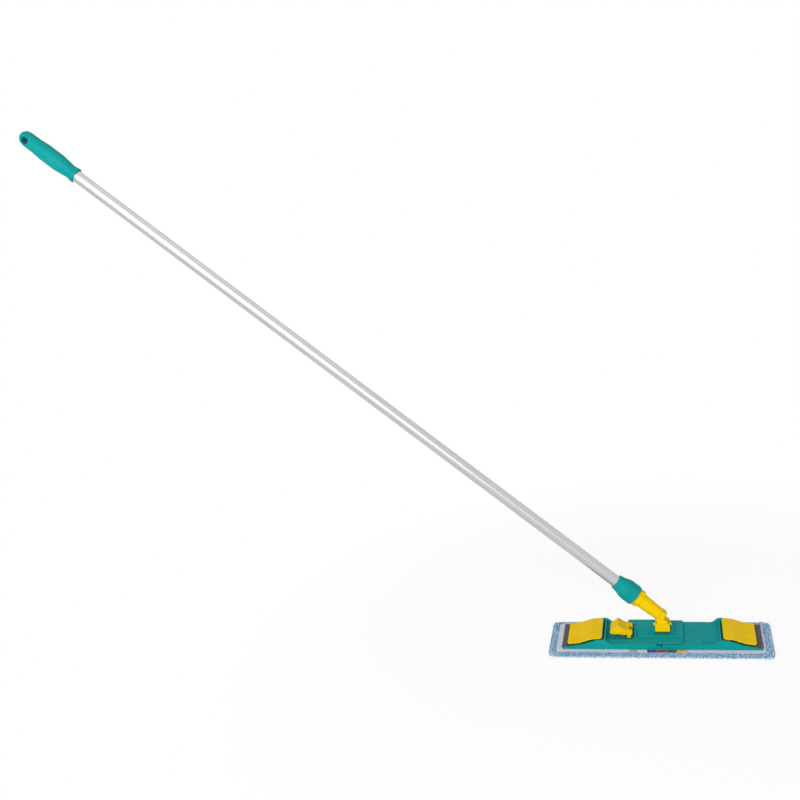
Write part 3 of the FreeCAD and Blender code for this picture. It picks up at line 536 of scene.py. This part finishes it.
@dataclass
class Rim:
    """A rounded rectangle round the mop, walked by distance."""

    half_x: float
    half_y: float
    corner: float
    middle: Vector

    def length(self) -> float:
        """Length of the whole outline."""
        straight = 4 * (self.half_x + self.half_y - 2 * self.corner)
        return straight + 2 * math.pi * self.corner

    def at(self, distance: float) -> tuple[Vector, Vector, Vector]:
        """Where the outline is at a distance along it.

        Args:
            distance: metres from the left end of the front edge.

        Returns:
            The point, the way outwards and the way along.
        """
        left = distance % self.length()
        turn = Matrix.Rotation(math.pi / 2, 3, "Z")
        along, out = Vector((1, 0, 0)), Vector((0, -1, 0))
        start = self.middle + Vector((-self.half_x + self.corner, -self.half_y, 0))
        for side in range(4):
            run = 2 * ((self.half_y if side % 2 else self.half_x) - self.corner)
            if left < run:
                return start + along * left, out, along
            left -= run
            bend = math.pi * self.corner / 2
            centre = start + along * run - out * self.corner
            if left < bend:
                swing = Matrix.Rotation(left / self.corner, 3, "Z")
                return centre + swing @ out * self.corner, swing @ out, swing @ along
            left -= bend
            along, out = turn @ along, turn @ out
            start = centre + out * self.corner
        return start, out, along


@dataclass(frozen=True)
class LoopRow:
    """One row of yarn loops round the pad: a level as a share of its height, a lean in radians."""

    inset: float
    level: float
    lean: float
    ends_only: bool = False


@dataclass
class MopPile:
    """The looped microfibre: a plump pad with rows of yarn loops on its rim."""

    seed: int = 11
    voxel: float = 0.0030
    inset: float = 0.0016
    floor_inset: float = 0.0002
    top_inset: float = 0.0008
    pressure: float = 4.0
    swell_frames: int = 20
    swell_cap: float = 0.0016
    corner: float = 0.013
    least_corner: float = 0.002
    lumps: tuple[tuple[float, float], ...] = ((170.0, 0.6), (460.0, 0.4))
    lump_out: float = 0.0009
    lump_up: float = 0.0007
    rim_band: float = 0.004
    backing_gap: float = 0.0003
    loop_pitch: float = 0.0030
    loop_size: float = 0.0021
    yarn: float = 0.00085
    end_border: float = 0.0148
    pitch_stray: float = 0.35
    lean_stray: float = 0.35
    level_stray: tuple[float, float] = (-0.0008, 0.0006)
    size_stray: tuple[float, float] = (0.75, 1.15)
    loop_floor: float = 0.0001
    rows: tuple[LoopRow, ...] = (
        LoopRow(0.0006, 0.20, 1.35), LoopRow(0.0006, 0.45, 1.35), LoopRow(0.0006, 0.70, 1.35),
        LoopRow(0.0012, 0.92, 0.8), LoopRow(0.0038, 0.97, 0.3), LoopRow(0.0062, 0.99, 0.1),
        LoopRow(0.0086, 0.99, 0.0, True), LoopRow(0.0112, 0.99, 0.0, True),
        LoopRow(0.0138, 0.99, 0.0, True),
    )

    def make_pad(self, material: bpy.types.Material) -> bpy.types.Object:
        """Inflate the pad with a short cloth simulation, then make its pile uneven.

        Args:
            material: the pile's finish.

        Returns:
            The pad.
        """
        low, high = joined_box("mop_pile")
        low_in = low + Vector((self.inset, self.inset, self.floor_inset))
        size = high - Vector((self.inset, self.inset, self.top_inset)) - low_in
        shape = bmesh.new()
        middle = Matrix.Translation(low_in + size / 2)
        bmesh.ops.create_cube(shape, size=1.0, matrix=middle @ Matrix.Diagonal((*size, 1.0)))
        upright = [e for e in shape.edges if abs(e.verts[0].co.z - e.verts[1].co.z) > size.z / 2]
        bmesh.ops.bevel(
            shape, geom=upright, offset=self.corner, segments=8, profile=0.5, affect="EDGES",
            material=-1,
        )
        pad = new_piece("mop_pile", shape, material)
        remesh = pad.modifiers.new("even", "REMESH")
        remesh.mode = "VOXEL"
        remesh.voxel_size = self.voxel
        bake_modifiers(pad)
        self.inflate(pad)
        finer = pad.modifiers.new("finer", "SUBSURF")
        finer.levels = finer.render_levels = 1
        bake_modifiers(pad)
        self.roughen(pad, low, high)
        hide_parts("mop_pile_left", "mop_pile_middle", "mop_pile_right")
        across_fold(pad)
        return pad

    def inflate(self, pad: bpy.types.Object) -> None:
        """Press the pad out from inside, then keep each point near where it began.

        Args:
            pad: the pad, with no modifiers left on it.
        """
        start = [vertex.co.copy() for vertex in pad.data.vertices]
        cloth = pad.modifiers.new("swell", "CLOTH")
        cloth.settings.use_pressure = True
        cloth.settings.uniform_pressure_force = self.pressure
        cloth.settings.effector_weights.gravity = 0.0
        for step in range(1, self.swell_frames + 1):
            bpy.context.scene.frame_set(step)
        bake_modifiers(pad)
        bpy.context.scene.frame_set(1)
        for vertex, home in zip(pad.data.vertices, start):
            moved = vertex.co - home
            if moved.length > self.swell_cap:
                vertex.co = home + moved.normalized() * self.swell_cap

    def roughen(self, pad: bpy.types.Object, low: Vector, high: Vector) -> None:
        """Make the pile lumpy, lying flat on the floor and under its backing.

        Args:
            pad: the pad.
            low: the lowest corner of its space.
            high: the highest corner of its space.
        """
        middle, half = plan_of(low, high)
        for vertex in pad.data.vertices:
            co = vertex.co
            off = co - middle
            lump = sum(noise.noise(co * count) * share for count, share in self.lumps)
            near_x = abs(off.x) - half.x + self.rim_band
            near_y = abs(off.y) - half.y + self.rim_band
            rim = max(near_x, near_y, 0.0) / self.rim_band
            out = Vector((off.x / half.x, off.y / half.y, 0.0))
            co += out * lump * self.lump_out * min(rim, 1.0)
            co.z = max(low.z, min(high.z - self.backing_gap, co.z + lump * self.lump_up))

    def yarn_loop(self) -> bpy.types.Mesh:
        """One open loop of yarn, standing on the XY plane.

        Returns:
            Its mesh.
        """
        shape = bmesh.new()
        start = Matrix.Translation((self.loop_size - self.yarn, 0, 0))
        ring = bmesh.ops.create_circle(shape, segments=4, radius=self.yarn, matrix=start)
        bmesh.ops.spin(
            shape, geom=ring["verts"] + shape.edges[:], cent=(0, 0, 0), axis=(0, 1, 0),
            angle=-math.pi, steps=5, use_merge=False,
        )
        bmesh.ops.holes_fill(shape, edges=shape.edges, sides=4)
        bmesh.ops.recalc_face_normals(shape, faces=shape.faces)
        mesh = bpy.data.meshes.new("yarn_loop")
        shape.to_mesh(mesh)
        shape.free()
        return mesh

    def make_loops(self, material: bpy.types.Material) -> bpy.types.Object:
        """Set rows of loops on the rim and the border.

        Args:
            material: the pile's finish.

        Returns:
            One piece with all the loops.
        """
        low, high = joined_box("mop_pile")
        middle, half = plan_of(low, high)
        rng = random.Random(self.seed)
        template = self.yarn_loop()
        shape = bmesh.new()
        for row in self.rows:
            corner = max(self.corner - row.inset, self.least_corner)
            rim = Rim(half.x - row.inset, half.y - row.inset, corner, middle)
            for step in range(int(rim.length() / self.loop_pitch)):
                stray = rng.uniform(-self.pitch_stray, self.pitch_stray)
                point, out, _ = rim.at((step + stray) * self.loop_pitch)
                if row.ends_only and abs(point.x - middle.x) < half.x - self.end_border:
                    continue
                point.z = high.z * row.level + rng.uniform(*self.level_stray)
                tilt = row.lean + rng.uniform(-self.lean_stray, self.lean_stray)
                up = (Vector((0, 0, 1)) * math.cos(tilt) + out * math.sin(tilt)).normalized()
                basis = up.to_track_quat("Z", "Y").to_matrix().to_4x4()
                spin = Matrix.Rotation(rng.uniform(0, math.pi), 4, "Z")
                sizes = [rng.uniform(*self.size_stray) for _ in range(3)]
                copy = template.copy()
                size = Matrix.Diagonal((*sizes, 1.0))
                copy.transform(Matrix.Translation(point) @ basis @ spin @ size)
                shape.from_mesh(copy)
                bpy.data.meshes.remove(copy)
        bpy.data.meshes.remove(template)
        for vertex in shape.verts:
            vertex.co.z = max(low.z + self.loop_floor, vertex.co.z)
        loops = new_piece("mop_loops", shape, material)
        across_fold(loops)
        return loops


@dataclass
class MopBacking:
    """The pale backing cloth with its sewn edge."""

    cell: float = 0.0022
    corner: float = 0.009
    cloth: float = 0.0006
    inset: float = 0.0002
    seam_inset: float = 0.0030
    seam_place: float = 1.8
    seam_reach: float = 0.003
    pucker_height: float = 0.00018
    pucker_turns: tuple[float, float] = (700.0, 640.0)
    pucker_noise: float = 60.0
    wave_height: float = 0.00012
    wave_noise: float = 45.0
    stitch_pitch: float = 0.0034
    stitch_size: tuple[float, float] = (0.0022, 0.0006)
    stitch_lift: float = 0.0003
    ribbon_shares: tuple[float, ...] = (15.8, 18.5, 18.5, 18.5, 19.2, 19.7)
    ribbon_fill: float = 0.8
    ribbon_gap: float = 0.0002
    ribbon_shade: float = 0.72
    ribbon_wave: float = 0.00009
    ribbon_turns: float = 620.0
    ribbon_phase: float = 1.7
    droop_reach: float = 0.0025
    droop_depth: float = 0.0003

    def ripple(self, co: Vector, half_x: float, half_y: float) -> float:
        """How far the cloth stands up from its base.

        Args:
            co: a point on the cloth, from the cloth's middle.
            half_x: half the cloth's length.
            half_y: half the cloth's width.

        Returns:
            The height in metres.
        """
        edge = min(half_x - abs(co.x), half_y - abs(co.y))
        turn_x, turn_y = self.pucker_turns
        stray = 2 * noise.noise(co * self.pucker_noise)
        pucker = 0.5 + 0.5 * math.sin(co.x * turn_x + co.y * turn_y + stray)
        near_seam = math.exp(-abs(edge - self.seam_inset * self.seam_place) / self.seam_reach)
        wave = self.wave_height * noise.noise(co * self.wave_noise)
        return self.pucker_height * pucker * near_seam + wave

    def make_cloth(self, material: bpy.types.Material) -> bpy.types.Object:
        """Lay out the cloth with round corners and puckers along its seam.

        Args:
            material: the cloth's finish.

        Returns:
            The cloth.
        """
        low, high = joined_box("mop_backing")
        middle, half = plan_of(low, high)
        half -= Vector((self.inset, self.inset, 0))
        shape = bmesh.new()
        bmesh.ops.create_grid(
            shape, x_segments=int(2 * half.x / self.cell), y_segments=int(2 * half.y / self.cell),
            size=1.0, matrix=Matrix.Diagonal((half.x, half.y, 1.0, 1.0)),
        )
        inner = Vector((half.x - self.corner, half.y - self.corner, 0))
        for vertex in shape.verts:
            co = vertex.co
            if abs(co.x) > inner.x and abs(co.y) > inner.y:
                centre = Vector((math.copysign(inner.x, co.x), math.copysign(inner.y, co.y), 0))
                square = co - centre
                reach = max(abs(square.x), abs(square.y))
                vertex.co = centre + square.normalized() * reach
            vertex.co.z = low.z + self.inset + self.ripple(vertex.co, half.x, half.y)
            vertex.co += middle
        cloth = new_piece("mop_backing", shape, material)
        thick = cloth.modifiers.new("cloth", "SOLIDIFY")
        thick.thickness = self.cloth
        thick.offset = 1.0
        bake_modifiers(cloth)
        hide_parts("mop_backing_left", "mop_backing_middle", "mop_backing_right")
        return cloth

    def make_stitches(self, material: bpy.types.Material) -> bpy.types.Object:
        """Sew a line of short stitches round the cloth's edge.

        Args:
            material: the thread's finish.

        Returns:
            All the stitches as one piece.
        """
        low, high = joined_box("mop_backing")
        length, width = self.stitch_size
        shape = bmesh.new()
        inset = self.seam_inset
        middle, half = plan_of(low, high)
        rim = Rim(half.x - inset, half.y - inset, self.corner - inset, middle)
        level = low.z + self.cloth + self.stitch_lift
        for step in range(int(rim.length() / self.stitch_pitch)):
            point, out, along = rim.at(step * self.stitch_pitch)
            basis = Matrix((along, -out, Vector((0, 0, 1)))).transposed().to_4x4()
            point.z = level
            place = Matrix.Translation(point) @ basis @ Matrix.Diagonal((length, width, width, 1))
            bmesh.ops.create_icosphere(shape, subdivisions=1, radius=0.5, matrix=place)
        stitches = new_piece("mop_stitches", shape, material)
        return stitches

    def make_tags(self) -> bpy.types.Object:
        """Sew six folded ribbons to the front edge.

        Returns:
            The ribbons as one piece.
        """
        low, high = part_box("colour_tags")
        depth = high.y - low.y
        thick = (high.z - low.z) * self.ribbon_fill
        shape = bmesh.new()
        finishes = []
        start = low.x
        for number, (colour, share) in enumerate(zip(TagColour, self.ribbon_shares)):
            pitch = (high.x - low.x + self.ribbon_gap) * share / sum(self.ribbon_shares)
            centre = Vector((start + pitch / 2, (low.y + high.y) / 2, low.z + thick / 2))
            start += pitch
            size = Matrix.Diagonal((pitch / 2 - self.ribbon_gap, depth / 2, 1.0, 1.0))
            made = bmesh.ops.create_grid(
                shape, x_segments=10, y_segments=6, size=1.0,
                matrix=Matrix.Translation(centre) @ size,
            )["verts"]
            for face in {face for vertex in made for face in vertex.link_faces}:
                face.material_index = number
            for vertex in made:
                droop = max(0.0, (low.y + self.droop_reach - vertex.co.y) / self.droop_reach)
                phase = vertex.co.x * self.ribbon_turns + self.ribbon_phase * number
                vertex.co.z += math.sin(phase) * self.ribbon_wave - self.droop_depth * droop
            shade = tuple(c * self.ribbon_shade for c in colour.value)
            finishes.append(WovenCloth(
                f"ribbon_{colour.name.lower()}", colour.value, shade, pitch=0.0007,
                depth=0.00008, sheen=0.25,
            ).build())
        tags = new_piece("mop_tags", shape, *finishes)
        cloth = tags.modifiers.new("cloth", "SOLIDIFY")
        cloth.thickness = thick
        cloth.offset = 0.0
        bake_modifiers(tags)
        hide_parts("colour_tags")
        return tags


@dataclass
class MopFlap:
    """A grey pocket flap that turns up round the frame's end and under the clamp plate."""

    side: str
    cloth: float = 0.0008
    cells_y: int = 44
    overhang: float = 0.0052
    spare_front: float = 0.0028
    spare_back: float = 0.0082
    lift: float = 0.0002
    top_gap: float = 0.0006
    bend: float = 0.0016
    wave_noise: float = 90.0
    wave_height: float = 0.0003
    tip_start: float = 0.0012
    tip_share: float = 0.45
    tip_lift: float = 0.0008
    top_band: float = 0.0015

    def make(self, material: bpy.types.Material) -> bpy.types.Object:
        """Fold the flap from one strip of cloth.

        Args:
            material: the flap's finish.

        Returns:
            The flap.
        """
        low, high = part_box(f"mop_flap_{self.side}")
        sign = -1 if self.side == "left" else 1
        outer = (low.x if sign < 0 else high.x) + sign * self.overhang
        inner = high.x if sign < 0 else low.x
        front, back = low.y - self.spare_front, high.y + self.spare_back
        upright = outer - sign * self.cloth / 2
        path = [
            Vector((upright, front, low.z + self.lift)),
            Vector((upright, front, high.z - self.top_gap)),
            Vector((inner, front, high.z - self.top_gap)),
        ]
        shape = bmesh.new()
        verts = [bmesh.ops.create_vert(shape, co=co)["vert"][0] for co in path]
        for pair in zip(verts, verts[1:]):
            shape.edges.new(pair)
        bmesh.ops.bevel(
            shape, geom=[verts[1]], offset=self.bend, segments=4, profile=0.5,
            affect="VERTICES", material=-1,
        )
        edges = shape.edges[:]
        step = (back - front) / self.cells_y
        for _ in range(self.cells_y):
            grown = bmesh.ops.extrude_edge_only(shape, edges=edges)["geom"]
            moved = [g for g in grown if isinstance(g, bmesh.types.BMVert)]
            edges = [g for g in grown if isinstance(g, bmesh.types.BMEdge)]
            bmesh.ops.translate(shape, verts=moved, vec=(0, step, 0))
        for vertex in shape.verts:
            wave = noise.noise(vertex.co * self.wave_noise) * self.wave_height
            vertex.co.z = min(vertex.co.z + wave, high.z - self.cloth / 2)
            if vertex.co.y - high.y - self.tip_start > 0.0:
                vertex.co.x = outer + (vertex.co.x - outer) * self.tip_share
                vertex.co.z += self.tip_lift * (vertex.co.z > high.z - self.top_band)
        bmesh.ops.recalc_face_normals(shape, faces=shape.faces)
        flap = new_piece(f"mop_flap_cloth_{self.side}", shape, material)
        thick = flap.modifiers.new("cloth", "SOLIDIFY")
        thick.thickness = self.cloth
        thick.offset = 0.0
        bake_modifiers(flap)
        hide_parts(f"mop_flap_{self.side}")
        reach = abs(outer - inner) + high.z - low.z
        reach * (high.y - front) + reach * self.tip_share * self.spare_back
        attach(flap, f"frame_{self.side}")
        return flap


# ------------------------------------------------------------------ studio

@dataclass(frozen=True)
class Softbox:
    """One rectangular area light, hung at a place and aimed at a point."""

    name: str
    at: Place
    aim: Place
    size: tuple[float, float]
    watts: float

    def hang(self) -> None:
        """Add the light to the scene."""
        data = bpy.data.lights.new(self.name, "AREA")
        data.shape = "RECTANGLE"
        data.size, data.size_y = self.size
        data.energy = self.watts
        lamp = bpy.data.objects.new(self.name, data)
        aim = Vector(self.aim) - Vector(self.at)
        facing = aim.to_track_quat("-Z", "Y").to_matrix().to_4x4()
        lamp.matrix_world = Matrix.Translation(self.at) @ facing
        bpy.context.scene.collection.objects.link(lamp)


@dataclass
class Studio:
    """The camera, the floor, the white surround and the soft lights."""

    camera_at: Place = (0.0562, -2.015, 1.1403)
    yaw: float = math.radians(14.73)
    pitch: float = math.radians(16.28)
    roll: float = math.radians(-7.04)
    lens: float = 49.542
    sensor: float = 36.0
    view_end: float = 50.0
    ambient: float = 0.44
    floor_reach: float = 30.0
    floor_drop: float = 0.0005
    floor_colour: Colour = (0.94, 0.94, 0.945)
    shadow_reach: float = 0.9
    least_white: float = 0.86
    lights: tuple[Softbox, ...] = (
        Softbox("front_light", (-0.9, -3.2, 2.1), (-0.3, 0.0, 0.4), (2.6, 1.8), 110.0),
        Softbox("top_light", (0.3, 0.4, 3.2), (-0.2, 0.0, 0.2), (2.4, 2.4), 4.0),
    )

    def make_camera(self) -> None:
        """Set the camera where the mop is seen whole."""
        ahead = Vector((
            -math.sin(self.yaw) * math.cos(self.pitch), math.cos(self.yaw) * math.cos(self.pitch),
            -math.sin(self.pitch),
        ))
        across = Vector((math.cos(self.yaw), math.sin(self.yaw), 0.0))
        upward = across.cross(ahead)
        right = across * math.cos(self.roll) + upward * math.sin(self.roll)
        top = upward * math.cos(self.roll) - across * math.sin(self.roll)
        data = bpy.data.cameras.new("camera")
        data.lens = self.lens
        data.sensor_width = self.sensor
        data.clip_end = self.view_end
        camera = bpy.data.objects.new("camera", data)
        basis = Matrix((right, top, -ahead)).transposed().to_4x4()
        camera.matrix_world = Matrix.Translation(self.camera_at) @ basis
        bpy.context.scene.collection.objects.link(camera)
        bpy.context.scene.camera = camera

    def make_floor(self) -> None:
        """A white floor that keeps the object's shadow and fades out away from it."""
        shape = bmesh.new()
        bmesh.ops.create_grid(
            shape, x_segments=8, y_segments=8, size=self.floor_reach,
            matrix=Matrix.Translation((0, 0, -self.floor_drop)),
        )
        s = Shader("floor")
        s.finish({"Base Color": self.floor_colour, "Roughness": 0.9, "Specular IOR Level": 0.1})
        x, y, _ = s.split(s.place())
        far = self.shadow_reach ** 2
        away = (x * x + y * y).spread(far / 4, far, self.least_white, 1.0)
        white = s.add("ShaderNodeEmission", {}, {"Color": WHITE, "Strength": 1.0})
        lit = Wire(s, s.surface.outputs["BSDF"])
        mixed = s.add("ShaderNodeMixShader", {}, {0: s.seen() * away, 1: lit, 2: white})
        s.link(mixed.socket, s.output.inputs["Surface"])
        floor = new_piece("floor", shape, s.material)

    def make_world(self) -> None:
        """An even white surround, seen as white and lighting gently."""
        world = bpy.data.worlds.new("surround")
        bpy.context.scene.world = world
        tree = NodeTree(world)
        light = tree.add("ShaderNodeBackground", {}, {"Color": WHITE, "Strength": self.ambient})
        white = tree.add("ShaderNodeBackground", {}, {"Color": WHITE, "Strength": 1.0})
        mixed = tree.add("ShaderNodeMixShader", {}, {0: tree.seen(), 1: light, 2: white})
        output = tree.nodes.new("ShaderNodeOutputWorld")
        tree.link(mixed.socket, output.inputs["Surface"])

    def build(self) -> None:
        """Set up the whole studio."""
        bpy.context.scene.view_settings.view_transform = "Standard"
        self.make_camera()
        self.make_floor()
        self.make_world()
        for light in self.lights:
            light.hang()


# ------------------------------------------------------------------ dressing

def build_finishes(lean: float) -> dict[str, bpy.types.Material]:
    """Make each finish once.

    Args:
        lean: the handle's lean from upright, in radians.

    Returns:
        The materials by slot name.
    """
    finishes = (
        MouldedPlastic("teal_plastic", (0.006, 0.305, 0.297), (0.004, 0.282, 0.274)),
        MouldedPlastic("yellow_plastic", (0.87, 0.575, 0.001), (0.84, 0.545, 0.001), 0.42),
        MouldedPlastic("dark_plastic", (0.03, 0.03, 0.033), (0.025, 0.025, 0.027), 0.5),
        AnodisedTube("anodised_tube", (0.56, 0.56, 0.575), lean),
        DrawnSteel("bright_steel", (0.62, 0.62, 0.63), 0.25),
        DrawnSteel("spring_steel", (0.35, 0.35, 0.37), 0.32),
        # the third colour is the painted shade for the hollows between the loops
        LoopedMicrofibre(
            "microfibre_pile", (0.56, 0.76, 0.92), (0.24, 0.46, 0.70), (0.07, 0.19, 0.38),
        ),
        WovenCloth("backing_cloth", (0.68, 0.70, 0.79), (0.56, 0.58, 0.68), pitch=0.0011),
        WovenCloth("flap_cloth", (0.085, 0.095, 0.108), (0.05, 0.056, 0.066), pitch=0.0013),
    )
    return {finish.name: finish.build() for finish in finishes}


def dress_nodes(finishes: dict[str, bpy.types.Material]) -> None:
    """Give each rigid node the finish that the record names for it.

    Args:
        finishes: the materials by slot name.
    """
    slots = {part["node"]: part["material_slot"] for part in frame["record"]["subparts"]}
    for name, node in frame["nodes"].items():
        finish = finishes.get(slots.get(name, ""))
        if finish is None:
            LOG.warning("%s has no finish of its own", name)
            continue
        node.data.materials.clear()
        node.data.materials.append(finish)
        LOG.info("%s: %s", name, finish.name)


def handle_lean() -> float:
    """The handle's lean from upright, read from the nut's own axis."""
    axis = next(j["axis"] for j in frame["joints"] if j["name"] == "nut_turn")
    return math.atan2(axis[0], axis[2])


def main() -> None:
    """Dress the nodes, make the soft pieces, then set the studio."""
    logging.basicConfig(level=logging.INFO)
    finishes = build_finishes(handle_lean())
    dress_nodes(finishes)
    pile = MopPile()
    pile.make_pad(finishes["microfibre_pile"])
    pile.make_loops(finishes["microfibre_pile"])
    backing = MopBacking()
    cloth = backing.make_cloth(finishes["backing_cloth"])
    stitches = backing.make_stitches(finishes["backing_cloth"])
    tags = backing.make_tags()
    for piece in (cloth, stitches, tags):
        across_fold(piece)
    for side in ("left", "right"):
        MopFlap(side).make(finishes["flap_cloth"])
    Studio().build()


if __name__ == "__main__":
    main()
